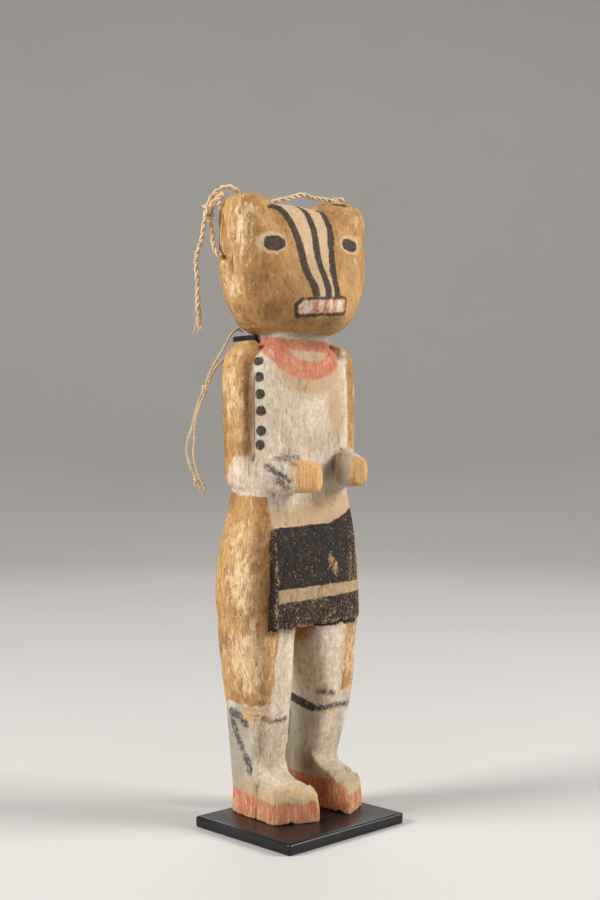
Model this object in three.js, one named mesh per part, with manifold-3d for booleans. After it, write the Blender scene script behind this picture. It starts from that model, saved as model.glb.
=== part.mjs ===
// A carved and painted wooden doll of a badger spirit, about 220 mm tall, on its small steel
// stand: a folded tray under the feet, an upright rod behind the back and a flat fork that
// holds the neck. Three old twisted cords hang from the head and the neck.
//
// Millimetres, +Z up. The doll faces -Y and its own left is +X. The origin is the middle of the
// footprint, on the surface that the tray stands on.

import * as THREE from 'three';
import { mergeVertices } from 'three/addons/utils/BufferGeometryUtils.js';
import Module from 'manifold-3d';

const wasm = await Module();
wasm.setup();

// ---------------------------------------------------------------- driving dimensions

// The stand. The tray lies a little to the doll's right of the origin.
const TRAY = { width: 57, depth: 49, height: 4, sheet: 1.2, seam: 0.5, x: -1.5 };
const ROD = { radius: 1.25, y: 14.5 };
const FORK = { low: 170.2, height: 1.8, thick: 2, apart: 30.8, reach: 12.6 };

// The doll's own frame: x = 0 is its middle, y = 0 the middle of its body, z = 0 its soles.
const DOLL = { x: 1.5, y: 8, z: TRAY.height };

const HEAD = { bottom: 172.2, top: 218, halfWidth: 28.8, x: 1.6, yaw: 4, roll: 2 };
const CREST = { rise: 1.3, x: -4, spread: 11, depth: 5 };
const MUZZLE = { out: 4.2, width: 11, z: 186, up: 15, down: 9 };
const EAR = { y: -0.6, top: 222.2, halfWidth: 8 };
const EAR_PLAN = {
  right: { x: 20.2, front: -0.6, back: -1.6 },
  left: { x: 21.2, front: 1, back: 0 },
};
const EAR_GROOVE = { y: 0.4, half: 2.2, depth: 2.2, low: 198, high: 216, lean: 14 };
const CORD_HOLE = { y: 4, z: 200, radius: 1.2, depth: 5 };

const SHOULDERS = { from: 150, tilt: 0.0018 }; // the left one is a little the higher
const ARM = { halfWidth: 4.5, elbow: 115 };
// Where each upper arm stands, how high it reaches and how far its top leans inward.
const ARM_PLAN = {
  right: { x: 20.9, front: 4.4, shoulder: 169.4, slope: 2 },
  left: { x: 24.4, front: 8.8, shoulder: 169.6, slope: 5 },
};
const FOREARM = {
  x: 21.2, back: 10.6, width: 9.6, low: 115.2, elbowTop: 130.6, handTop: 126.6, bow: 3,
};
// How far each forearm reaches, its degrees inward from straight ahead, and its extra height.
const FOREARM_PLAN = {
  right: { length: 35.5, turn: 25, raise: 0 },
  left: { length: 37.5, turn: 17, raise: 2 },
};

const KILT = { left: 21.6, right: 20.9, bottom: 68.6, tilt: 1.6, top: 104.2, front: 16.6, flare: 0.056 };

// Each foot's inner and outer sides, measured outward from the doll's middle at the toes and at
// the heel, and where (y) the inner and outer corners of its toe end lie.
const FEET = {
  right: { side: -1, inner: 4.5, outer: 20, heelIn: 5, heelOut: 18.8, toeIn: -20.4, toeOut: -13.6 },
  left: { side: 1, inner: 8.4, outer: 21.3, heelIn: 8.4, heelOut: 20.6, toeIn: -21.6, toeOut: -16.2 },
};
const FOOT = { heel: 13.2, toe: 9.3, instep: 15.6, top: 20 };

const CORD = { thick: 1.8, thin: 1, sides: 8, step: 2.7 }; // step in diameters

// ---------------------------------------------------------------- closed meshes and solids

function closedGeometry(points, faces) {
  const geometry = new THREE.BufferGeometry();
  geometry.setAttribute('position', new THREE.Float32BufferAttribute(points.flat(), 3));
  geometry.setIndex(faces.flat());
  return geometry;
}

function solid(geometry) {
  const bare = geometry.clone();
  bare.deleteAttribute('normal');
  bare.deleteAttribute('uv');
  const merged = mergeVertices(bare, 1e-4);
  const mesh = new wasm.Mesh({
    numProp: 3,
    vertProperties: merged.attributes.position.array,
    triVerts: new Uint32Array(merged.index.array),
  });
  return new wasm.Manifold(mesh);
}

function geometryOf(body) {
  const mesh = body.getMesh();
  const geometry = new THREE.BufferGeometry();
  geometry.setAttribute('position', new THREE.Float32BufferAttribute(mesh.vertProperties, 3));
  geometry.setIndex(Array.from(mesh.triVerts));
  geometry.computeVertexNormals();
  return geometry;
}

// ---------------------------------------------------------------- lofts of rounded sections

// Cubic interpolation of one named value between the two middle sections of four.
function blend(four, key, t) {
  const [a, b, c, d] = four.map((section) => section[key]);
  const slopeIn = (c - a) / 2;
  const slopeOut = (d - b) / 2;
  const t2 = t * t;
  const t3 = t2 * t;
  const start = (2 * t3 - 3 * t2 + 1) * b + (t3 - 2 * t2 + t) * slopeIn;
  return start + (3 * t2 - 2 * t3) * c + (t3 - t2) * slopeOut;
}

// One rounded outline: half-width w, reach f to the front (-y) with squareness m, and reach b to
// the back with squareness n.
function outline(section, count) {
  const { x, y, z, w, f, b, n, m } = section;
  const points = [];
  for (let i = 0; i < count; i += 1) {
    const angle = (2 * Math.PI * (i + 0.5)) / count;
    const c = Math.cos(angle);
    const s = Math.sin(angle);
    const [reach, square] = s < 0 ? [f, m] : [b, n];
    const across = Math.sign(c) * Math.abs(c) ** (2 / square);
    const along = Math.sign(s) * Math.abs(s) ** (2 / square);
    points.push([x + w * across, y + reach * along, z]);
  }
  return points;
}

// A solid skinned over sections listed from the bottom up, with steps rings in each interval.
function loft(listed, { count, steps }) {
  const sections = listed.map((section) => ({ x: 0, y: 0, m: section.n, ...section }));
  const keys = Object.keys(sections[0]);
  const last = sections.length - 1;
  const rings = [];
  for (let i = 0; i < last; i += 1) {
    const four = [i - 1, i, i + 1, i + 2].map((k) => sections[Math.min(Math.max(k, 0), last)]);
    for (let step = 0; step < steps; step += 1) {
      const mixed = Object.fromEntries(keys.map((key) => [key, blend(four, key, step / steps)]));
      rings.push(outline(mixed, count));
    }
  }
  rings.push(outline(sections[last], count));
  return skin(rings, count);
}

function skin(rings, count) {
  const points = rings.flat();
  const faces = [];
  for (let r = 0; r + 1 < rings.length; r += 1) {
    for (let i = 0; i < count; i += 1) {
      const j = (i + 1) % count;
      const [a, b] = [r * count + i, r * count + j];
      faces.push([a, b, b + count], [a, b + count, a + count]);
    }
  }
  const ends = [
    { ring: rings[0], base: 0, flip: true },
    { ring: rings[rings.length - 1], base: (rings.length - 1) * count, flip: false },
  ];
  for (const { ring, base, flip } of ends) {
    const middle = [0, 1, 2].map((k) => ring.reduce((sum, p) => sum + p[k], 0) / count);
    points.push(middle);
    for (let i = 0; i < count; i += 1) {
      const j = (i + 1) % count;
      const [a, b] = flip ? [base + j, base + i] : [base + i, base + j];
      faces.push([a, b, points.length - 1]);
    }
  }
  return closedGeometry(points, faces);
}

// Moves every point of a geometry by a rule that takes and returns [x, y, z].
function shaped(geometry, rule) {
  const position = geometry.attributes.position;
  for (let i = 0; i < position.count; i += 1) {
    position.setXYZ(i, ...rule(position.getX(i), position.getY(i), position.getZ(i)));
  }
  return geometry;
}

// A bell curve that is 1 at the centre, with its own spread above and below it.
function bell(value, centre, below, above) {
  const spread = value < centre ? below : above;
  return Math.exp(-(((value - centre) / spread) ** 2));
}

function degrees(angle) {
  return THREE.MathUtils.degToRad(angle);
}

// ---------------------------------------------------------------- the head

function skull() {
  const { bottom, top, halfWidth: w } = HEAD;
  const sections = [
    { z: bottom, w: 13, f: 10.6, b: 8, n: 2.4, m: 2.2 },
    { z: bottom + 1.4, w: 17.8, f: 13.4, b: 10, n: 2.8, m: 2.4 },
    { z: bottom + 4, w: 21.6, f: 15.2, b: 11, n: 3.3, m: 2.3 },
    { z: bottom + 7.4, w: 24.4, f: 16, b: 11.7, n: 3, m: 2.5 },
    { z: bottom + 12.2, w: w - 2.1, f: 16, b: 12.2, n: 3.3, m: 2.8 },
    { z: bottom + 19, w: w - 0.6, f: 15.2, b: 12.6, n: 3.9, m: 3.8 },
    { z: bottom + 27, w, f: 13.8, b: 12.6, n: 3.8, m: 5 },
    { z: bottom + 35, w, f: 12.6, b: 12, n: 3.4, m: 5 },
    { z: top - 4.5, w: w - 0.3, f: 10.8, b: 11.6, n: 3.2, m: 4.6 },
    { z: top - 1.3, w: w - 1.8, f: 8.4, b: 10.6, n: 3, m: 3.6 },
    { z: top, w: w - 5, f: 4.5, b: 8, n: 2.8, m: 2.8 },
  ];
  return shaped(loft(sections, { count: 40, steps: 2 }), (x, y, z) => {
    const snout = MUZZLE.out * bell(x, 0, MUZZLE.width, MUZZLE.width);
    const near = Math.max(0, 1 - (top - z) / CREST.depth);
    const crest = CREST.rise * bell(x, CREST.x, CREST.spread, CREST.spread) * near;
    return [x, y < 0 ? y - snout * bell(z, MUZZLE.z, MUZZLE.down, MUZZLE.up) : y, z + crest];
  });
}

// An ear is a blunt lump that carries the corner of the head up past its flat top.
function ear(side, { x, front, back }) {
  const { y, top, halfWidth: w } = EAR;
  const place = { x: side * x, y };
  return loft([
    { ...place, z: top - 20, w: w - 1, f: front + 9, b: back + 12, n: 3, m: 3.2 },
    { ...place, z: top - 9, w, f: front + 10, b: back + 12.4, n: 3, m: 3.6 },
    { ...place, z: top - 4, w: w - 0.4, f: front + 8.6, b: back + 11.8, n: 2.8, m: 3.4 },
    { ...place, z: top - 1.3, w: w - 1.5, f: front + 6.6, b: back + 10, n: 2.7, m: 3 },
    { ...place, z: top, w: w - 3.4, f: front + 3.6, b: back + 7.4, n: 2.5, m: 2.6 },
  ], { count: 24, steps: 2 });
}

// The V-shaped knife cut that runs up the right side of the head behind the ear.
function earGroove() {
  const { y, half, depth, low, high, lean } = EAR_GROOVE;
  const profile = new THREE.Shape();
  profile.moveTo(0, 0);
  profile.lineTo(-2 * depth, 2 * half);
  profile.lineTo(-2 * depth, -2 * half);
  profile.closePath();
  const wedge = new THREE.ExtrudeGeometry(profile, { depth: high - low, bevelEnabled: false });
  wedge.rotateX(degrees(-lean));
  wedge.translate(-HEAD.halfWidth + depth, y, low);
  return wedge;
}

function cordHole() {
  const { y, z, radius, depth } = CORD_HOLE;
  const drill = new THREE.CylinderGeometry(radius, radius, 2 * depth, 12);
  drill.rotateZ(degrees(90));
  drill.translate(-HEAD.halfWidth, y, z);
  return drill;
}

function headSolid() {
  const ears = solid(ear(-1, EAR_PLAN.right)).add(solid(ear(1, EAR_PLAN.left)));
  const whole = solid(skull()).add(ears);
  const carved = whole.subtract(solid(earGroove())).subtract(solid(cordHole()));
  const { bottom, x, yaw, roll } = HEAD;
  const set = carved.translate([0, 0, -bottom]).rotate([0, -roll, 0]).rotate([0, 0, -yaw]);
  return set.translate([x, 0, bottom]);
}

// ---------------------------------------------------------------- the body

function trunk() {
  const body = loft([
    { z: 69.5, w: 27.6, f: 11.6, b: 11.6, n: 5, m: 4 },
    { z: 77, x: -0.7, w: 29, f: 12.6, b: 12.3, n: 5.2, m: 4.6 },
    { z: 89, x: -0.9, w: 27.9, f: 13.3, b: 12.2, n: 5.2, m: 4.8 },
    { z: 99, x: -0.9, w: 26.3, f: 13, b: 11.9, n: 5, m: 4.4 },
    { z: 107, x: 0.8, w: 25.4, f: 11.8, b: 11.6, n: 5.2, m: 3.2 },
    { z: 113, x: 0.9, w: 23.9, f: 11.2, b: 11.2, n: 5.2, m: 3.2 },
    { z: 122, x: 0.5, w: 22.6, f: 10.6, b: 11, n: 5, m: 3.6 },
    { z: 134, x: 0.8, w: 23, f: 9.8, b: 10.6, n: 4.6, m: 4.8 },
    { z: 150, x: 0.8, w: 23.4, f: 9.2, b: 10.6, n: 4.4, m: 5 },
    { z: 160, x: 0.8, w: 22.8, f: 8.8, b: 10.2, n: 4, m: 4.2 },
    { z: 165.5, x: 0.2, w: 19.6, f: 8.6, b: 9.2, n: 3, m: 3 },
    { z: 168.2, w: 14.8, f: 9, b: 8.4, n: 2.4, m: 4 },
    { z: 169.9, w: 13.3, f: 9.2, b: 7.6, n: 2.2, m: 5 },
    { z: 175, w: 13.2, f: 9.4, b: 7.6, n: 2.2, m: 5 },
  ], { count: 36, steps: 2 });
  const { from, tilt } = SHOULDERS;
  return shaped(body, (x, y, z) => [x, y, z + tilt * x * Math.max(0, Math.min(z, 168) - from)]);
}

function upperArm(side, { x, front, shoulder, slope }) {
  const { halfWidth: w, elbow } = ARM;
  const place = { x: side * x, y: 2 };
  return loft([
    { ...place, x: side * (x - 0.6), z: elbow + 4, w: w - 0.6, f: front, b: 7, n: 3 },
    { ...place, x: side * (x - 0.6), z: elbow + 12, w: w - 0.4, f: front + 0.6, b: 8.8, n: 3.4 },
    { ...place, z: elbow + 28, w, f: front, b: 9, n: 3.6 },
    { ...place, z: shoulder - 12, w: w - 0.2, f: front, b: 9.3, n: 3.6 },
    { ...place, x: side * (x - slope / 4), z: shoulder - 4.5, w: w - 0.3, f: front, b: 8.6, n: 3 },
    { ...place, x: side * (x - slope), z: shoulder, w: w - 1.4, f: front - 1.2, b: 6, n: 2.4 },
  ], { count: 20, steps: 2 });
}

// A forearm is a deep bar that tapers from the elbow to the blunt cut end of the hand.
function forearm(side, { length, turn, raise }) {
  const { x, back, width, low, elbowTop, handTop, bow } = FOREARM;
  const wide = width / 2;
  const tall = (elbowTop - low) / 2;
  const hand = (handTop - low) / 2;
  const middle = (low + elbowTop) / 2;
  const drop = low + hand - middle;
  const out = side * bow;
  const bar = loft([
    { z: 0, y: 1.4, w: wide - 1.8, f: tall - 3.8, b: tall - 3, n: 2.6 },
    { z: 2, x: out * 0.2, y: 1, w: wide - 0.4, f: tall - 1.8, b: tall - 1.4, n: 3 },
    { z: 7, x: out * 0.7, y: 0.3, w: wide, f: tall, b: tall - 0.2, n: 3.4 },
    { z: 14, x: out, w: wide, f: tall, b: tall - 0.4, n: 3.6 },
    { z: 23, x: out * 0.7, y: drop * 0.7, w: wide - 0.4, f: hand + 0.4, b: hand + 1, n: 3.6 },
    { z: length - 2.5, x: out * 0.2, y: drop, w: wide - 0.9, f: hand - 0.4, b: hand, n: 3.4 },
    { z: length, y: drop, w: wide - 2, f: hand - 1.8, b: hand - 1.8, n: 2.8 },
  ], { count: 20, steps: 2 });
  bar.rotateX(degrees(90));
  bar.rotateZ(degrees(-side * turn));
  bar.translate(side * x, back, middle + raise);
  return bar;
}

function leg(side) {
  const section = (z, apart, shift, rest) => ({ z, x: side * apart + shift, ...rest });
  return loft([
    section(10, 13.6, 1.8, { y: 5, w: 7.1, f: 7.6, b: 7.6, n: 4.6 }),
    section(17, 13.8, 1.8, { y: 4.9, w: 7.4, f: 7.9, b: 7.8, n: 5 }),
    section(32, 15, 1.7, { y: 3.4, w: 8.2, f: 10.3, b: 9.4, n: 4.4 }),
    section(46, 15.5, 0.6, { y: 1.6, w: 9.4, f: 11.4, b: 10.8, n: 4.4 }),
    section(62, 15.6, -0.8, { y: 0.2, w: 11, f: 11.6, b: 11.5, n: 4.4 }),
    section(74, 15.4, -0.3, { y: 0, w: 12.2, f: 11.6, b: 11.6, n: 4.6 }),
    section(84, 14, 0, { y: 0, w: 11, f: 10, b: 10, n: 3.6 }),
  ], { count: 24, steps: 2 });
}

// ---------------------------------------------------------------- the kilt and the feet

// The kilt is a slab left standing proud of the hips, flush with the belly at its top, bent back
// at its sides and wider on its left towards the hem.
function kilt() {
  const { left, right, bottom, tilt, top, front, flare } = KILT;
  const inside = -front + 9.4;
  const side = new THREE.Shape();
  side.moveTo(-front, bottom);
  side.lineTo(inside, bottom);
  side.lineTo(inside, top);
  side.lineTo(-front + 4, top);
  side.quadraticCurveTo(-front + 0.7, top - 3, -front + 0.6, top - 13);
  const slab = new THREE.ExtrudeGeometry(side, {
    depth: left + right,
    bevelEnabled: false,
    curveSegments: 8,
    steps: 10,
  });
  slab.rotateX(degrees(90));
  slab.rotateZ(degrees(90));
  slab.translate(-right, 0, 0);
  const half = (left + right) / 2;
  return shaped(slab, (x, y, z) => {
    const across = (x - (left - right) / 2) / half;
    const bend = across < 0 ? 1 : 2.2;
    const inset = x > 0 ? (flare * (z - bottom) * x) / left : 0;
    return [x - inset, y + bend * across ** 4, z + (tilt / 2) * across];
  });
}

// The sole from the heel forward; the toe end is cut on a slant with its inner corner ahead.
function soleOutline({ side, inner, outer, heelIn, heelOut, toeIn, toeOut }) {
  const { heel } = FOOT;
  const shape = new THREE.Shape();
  shape.moveTo(side * (heelIn + 2), heel);
  shape.quadraticCurveTo(side * heelIn, heel, side * heelIn, heel - 2);
  shape.lineTo(side * inner, toeIn + 1.6);
  shape.quadraticCurveTo(side * inner, toeIn, side * (inner + 1.6), toeIn + 0.5);
  shape.lineTo(side * (outer - 1.8), toeOut - 0.6);
  shape.quadraticCurveTo(side * outer, toeOut, side * outer, toeOut + 2);
  shape.lineTo(side * (outer - 0.4), -2);
  shape.quadraticCurveTo(side * (heelOut + 0.6), 4, side * (heelOut - 0.6), heel - 3);
  shape.quadraticCurveTo(side * (heelOut - 1), heel, side * (heelOut - 4), heel);
  return shape;
}

// The foot's side view: a blunt toe, an instep that climbs to the shin and a plain block behind.
function footProfile() {
  const { toe, instep, top, heel } = FOOT;
  const profile = new THREE.Shape();
  profile.moveTo(-25, 0);
  profile.lineTo(-25, toe - 3);
  profile.quadraticCurveTo(-21.5, toe - 0.9, -17, toe);
  profile.quadraticCurveTo(-9.5, toe + 2.6, -4.4, instep);
  profile.lineTo(-2, top);
  profile.lineTo(heel + 2, top);
  profile.lineTo(heel + 2, 0);
  return profile;
}

function foot(plan) {
  const settings = { bevelEnabled: false, curveSegments: 4 };
  const block = new THREE.ExtrudeGeometry(soleOutline(plan), { depth: FOOT.top, ...settings });
  const span = 60;
  const cut = new THREE.ExtrudeGeometry(footProfile(), { depth: span, ...settings });
  cut.rotateX(degrees(90));
  cut.rotateZ(degrees(90));
  cut.translate(-span / 2, 0, 0);
  return solid(block).intersect(solid(cut));
}

// ---------------------------------------------------------------- pieces

function figure() {
  let body = headSolid().add(solid(trunk())).add(solid(kilt()));
  for (const hand of ['right', 'left']) {
    const plan = FEET[hand];
    const { side } = plan;
    const arm = [upperArm(side, ARM_PLAN[hand]), forearm(side, FOREARM_PLAN[hand])];
    body = [...arm, leg(side)].reduce((whole, limb) => whole.add(solid(limb)), body);
    body = body.add(foot(plan));
  }
  return geometryOf(body);
}

// The tray is one sheet with its four edges folded down, mitred at the corners with open seams.
function tray() {
  const { width, depth, height, sheet, seam } = TRAY;
  const top = new THREE.BoxGeometry(width, depth, sheet).translate(0, 0, height - sheet / 2);
  let body = solid(top);
  for (let edge = 0; edge < 4; edge += 1) {
    const [along, out] = edge % 2 ? [depth / 2, width / 2] : [width / 2, depth / 2];
    const end = along - seam / 2;
    const flange = new THREE.Shape();
    flange.moveTo(-end, -out);
    flange.lineTo(end, -out);
    flange.lineTo(end - sheet, -out + sheet);
    flange.lineTo(-end + sheet, -out + sheet);
    const wall = new THREE.ExtrudeGeometry(flange, { depth: height - sheet / 2, bevelEnabled: false });
    wall.rotateZ(degrees(90 * edge));
    body = body.add(solid(wall));
  }
  return geometryOf(body);
}

function rod() {
  const height = DOLL.z + FORK.low - TRAY.height;
  const bar = new THREE.CylinderGeometry(ROD.radius, ROD.radius, height, 20);
  return bar.rotateX(degrees(90)).translate(0, ROD.y, height / 2);
}

// The fork is a flat bar bent into a square U that opens forward round the neck.
function fork() {
  const { low, height, thick, apart, reach } = FORK;
  const out = apart / 2;
  const backY = ROD.y + thick / 2 - 0.2;
  const bend = 2;
  const plan = new THREE.Shape();
  plan.moveTo(-out, backY - reach);
  plan.lineTo(-out, backY - bend);
  plan.quadraticCurveTo(-out, backY, -out + bend, backY);
  plan.lineTo(out - bend, backY);
  plan.quadraticCurveTo(out, backY, out, backY - bend);
  plan.lineTo(out, backY - reach);
  plan.lineTo(out - thick, backY - reach);
  plan.lineTo(out - thick, backY - thick);
  plan.lineTo(-out + thick, backY - thick);
  plan.lineTo(-out + thick, backY - reach);
  const bar = new THREE.ExtrudeGeometry(plan, { depth: height, bevelEnabled: false });
  return bar.translate(0, 0, low);
}

// ---------------------------------------------------------------- the cords

// Routes in the frame of the whole object.
const EAR_CORD = [
  [-27.3, 13.2, 203.1], [-28.2, 14, 203.8], [-28.7, 15.1, 205.8], [-28.5, 16.4, 208.8],
  [-28.2, 17.3, 212.1], [-28, 18.4, 216.1], [-27.9, 19.8, 219.8], [-26.9, 20.4, 222.8],
  [-25.6, 19.8, 225.6], [-23.8, 18.1, 227.9], [-22, 15.7, 228.7], [-20, 14.4, 228],
  [-17.6, 15.6, 227], [-16, 18.9, 225.6], [-16.2, 22, 222.8], [-18.2, 23, 221.4],
  [-20.6, 21.8, 223.2], [-22.6, 18.2, 225.8], [-25.2, 15.8, 225.4], [-27.6, 15.6, 223.6],
  [-29, 16.8, 221.4], [-29.9, 17.8, 218.8], [-30.6, 18.2, 216.4], [-30.9, 18.6, 214],
  [-31.1, 19, 210.4], [-31.7, 19.5, 207.2], [-32.4, 20.2, 204.4], [-32.7, 20.5, 200.9],
  [-32.5, 20.3, 196.6], [-32.3, 20.1, 192.4], [-32.3, 20.1, 187.8], [-32.2, 20, 182.8],
  [-31.7, 19.5, 177.5],
];

const CROWN_CORD = [
  [-2.6, 15, 224.2], [-2.4, 14.2, 225], [-1.8, 12.8, 225.8], [-0.3, 11.2, 226.2], [2.6, 10, 227],
  [5.7, 9.8, 228.2], [8.8, 9.5, 229.1], [11.8, 9.4, 229], [14.5, 9.6, 228.6], [17.8, 9.2, 228.6],
  [20, 8.9, 228.7], [22, 8.6, 228.6], [23.6, 8.3, 228.4], [25, 8, 228.4], [26, 7.9, 228.5],
];

const NECK_CORD = [
  [-7.6, 24.6, 178.4], [-11, 22.6, 179], [-13.6, 20.2, 178.4], [-16.4, 18.8, 177.4],
  [-18.8, 18.4, 175.4], [-20.8, 18.5, 172.4], [-22.6, 19.2, 169.1], [-24.6, 19.8, 165.8],
  [-26.5, 20.1, 162.5], [-27.9, 20.1, 159.6], [-29.1, 19.8, 156.7], [-30.9, 20.1, 153.8],
  [-32.4, 20.2, 150.3], [-33.7, 20.1, 146.4], [-34.6, 20.9, 142.1], [-35.5, 21.8, 138.2],
  [-35.8, 22.1, 134.7], [-35.3, 21.7, 131.2], [-34.4, 20.8, 127.6], [-33.4, 19.8, 124.5],
  [-32.5, 18.9, 121.6], [-31, 18.7, 119.7], [-29.2, 19.6, 120.7], [-29.7, 20.6, 123],
  [-30.8, 21.6, 126], [-31.6, 22.3, 129.4], [-32.1, 22.7, 133.6], [-31.8, 22.6, 138.3],
  [-31.5, 22.5, 142.9], [-30.8, 22, 147.5], [-29.6, 21.4, 151.8], [-27.6, 21.4, 155.4],
  [-25.7, 22, 158.7], [-23.8, 22.6, 161.6], [-21, 23.4, 164.4], [-17.4, 24.2, 167],
  [-13.6, 24.8, 170], [-10, 25, 173], [-6.8, 24.8, 175.6], [-4, 24.6, 177.6],
];

// A plain round tube along a smooth curve through the route, closed at both ends.
function cordTube(route, diameter) {
  const section = new THREE.Shape();
  for (let i = 0; i < CORD.sides; i += 1) {
    const angle = (2 * Math.PI * i) / CORD.sides;
    const [x, y] = [Math.cos(angle), Math.sin(angle)].map((unit) => (unit * diameter) / 2);
    if (i === 0) section.moveTo(x, y);
    else section.lineTo(x, y);
  }
  const path = new THREE.CatmullRomCurve3(route.map((point) => new THREE.Vector3(...point)));
  const steps = Math.round(path.getLength() / (CORD.step * diameter));
  return new THREE.ExtrudeGeometry(section, { extrudePath: path, steps, bevelEnabled: false });
}

// ---------------------------------------------------------------- the scene graph

const PAINTED_WOOD = { color: 0xb98a52, roughness: 0.85, metalness: 0 };
const BLACK_STEEL = { color: 0x1d1e20, roughness: 0.4, metalness: 0.8 };
const COTTON = { color: 0xcdb48a, roughness: 0.95, metalness: 0 };

const group = new THREE.Group();

function addPiece(parent, name, geometry, material) {
  const mesh = new THREE.Mesh(geometry, new THREE.MeshStandardMaterial(material));
  mesh.name = name;
  parent.add(mesh);
  return mesh;
}

const stand = new THREE.Group();
stand.position.set(TRAY.x, 0, 0);
group.add(stand);
addPiece(stand, 'stand_tray', tray(), BLACK_STEEL);

const post = new THREE.Group();
post.position.set(DOLL.x, DOLL.y, 0);
group.add(post);
addPiece(post, 'stand_rod', rod().translate(0, 0, TRAY.height), BLACK_STEEL);
addPiece(post, 'neck_fork', fork().translate(0, 0, DOLL.z), BLACK_STEEL);

const doll = new THREE.Group();
doll.position.set(DOLL.x, DOLL.y, DOLL.z);
group.add(doll);
addPiece(doll, 'figure', figure(), PAINTED_WOOD);

addPiece(group, 'ear_cord', cordTube(EAR_CORD, CORD.thick), COTTON);
addPiece(group, 'crown_cord', cordTube(CROWN_CORD, CORD.thick), COTTON);
addPiece(group, 'neck_cord', cordTube(NECK_CORD, CORD.thin), COTTON);

export default group;
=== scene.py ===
"""A carved and painted badger doll on its black steel stand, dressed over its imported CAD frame.

The wood, its knife work and its paint are made here on a fine copy of the CAD figure. The plain
cord solids become old two-ply cotton, and the tray gets round folds. Sizes are in millimetres in
the doll's own frame (x to its left, -y to its front, z up from its soles), those of the cords in
the row frame. They are turned to metres only at the end.
"""
import itertools
import math

import bpy
import numpy as np
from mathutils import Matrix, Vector


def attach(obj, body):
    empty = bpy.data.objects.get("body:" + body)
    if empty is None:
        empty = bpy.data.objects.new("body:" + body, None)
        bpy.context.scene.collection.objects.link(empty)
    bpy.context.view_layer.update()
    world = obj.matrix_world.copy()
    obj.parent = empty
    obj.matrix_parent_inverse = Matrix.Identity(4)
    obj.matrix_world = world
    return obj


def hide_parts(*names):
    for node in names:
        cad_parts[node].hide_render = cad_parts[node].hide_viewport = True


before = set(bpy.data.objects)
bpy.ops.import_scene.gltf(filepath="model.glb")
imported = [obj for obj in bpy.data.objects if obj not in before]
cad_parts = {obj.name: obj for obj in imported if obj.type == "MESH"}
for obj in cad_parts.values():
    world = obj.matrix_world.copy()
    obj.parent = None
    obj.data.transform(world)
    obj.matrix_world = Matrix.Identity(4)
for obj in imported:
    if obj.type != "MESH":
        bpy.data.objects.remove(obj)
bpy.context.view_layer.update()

MM = 0.001
DOLL_ORIGIN = np.array([1.5, 8.0, 4.0])  # the doll's own frame in the row frame

# ---------------------------------------------------------------- camera

# The camera stands level with the doll's forearms, ahead of it and to its right.
CAMERA_PLACE = (-0.3311, -0.3402, 0.1347)
CAMERA_TURN = -44.1  # degrees about +Z, from looking along +Y
CAMERA_LENS = 52.76


def add_camera():
    data = bpy.data.cameras.new("camera")
    data.lens = CAMERA_LENS
    camera = bpy.data.objects.new("camera", data)
    camera.location = CAMERA_PLACE
    camera.rotation_euler = (math.radians(90), 0, math.radians(CAMERA_TURN))
    bpy.context.collection.objects.link(camera)
    bpy.context.scene.camera = camera


add_camera()

# ---------------------------------------------------------------- small tools


def linear(red, green, blue):
    """A colour from 0-255 display values, as the linear values that shaders take."""
    shares = [value / 255 for value in (red, green, blue)]
    return tuple(s / 12.92 if s <= 0.04045 else ((s + 0.055) / 1.055) ** 2.4 for s in shares)


def add_piece(name, vertices, faces, material):
    """A mesh object on the root body, from vertices in metres in the row frame."""
    mesh = bpy.data.meshes.new(name)
    mesh.from_pydata([tuple(v) for v in vertices], [], [tuple(f) for f in faces])
    mesh.validate()
    mesh.polygons.foreach_set("use_smooth", [True] * len(mesh.polygons))
    mesh.materials.append(material)
    piece = bpy.data.objects.new(name, mesh)
    bpy.context.collection.objects.link(piece)
    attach(piece, "root")
    return piece


LATTICE_SIDE = 32
LATTICE = np.random.default_rng(11).uniform(-1, 1, (LATTICE_SIDE,) * 3)
SEED_SHIFT = 7.31  # cells of the lattice from one seed's place to the next one's


def noise(points, size, seed=0):
    """Smooth noise from -1 to 1, with lumps of the given size along x, y and z."""
    place = points / np.asarray(size, float) + seed * SEED_SHIFT
    cell = np.floor(place).astype(int)
    t = place - cell
    t = t * t * t * (t * (t * 6 - 15) + 10)
    total = np.zeros(len(points))
    for corner in itertools.product((0, 1), repeat=3):
        x, y, z = ((cell + corner) % LATTICE_SIDE).T
        total += np.prod(np.where(corner, t, 1 - t), axis=1) * LATTICE[x, y, z]
    return total


def step_between(value, low, high):
    """0 below low, 1 above high, and a smooth rise between them."""
    t = np.clip((value - low) / (high - low), 0, 1)
    return t * t * (3 - 2 * t)


# ---------------------------------------------------------------- shader building


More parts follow.
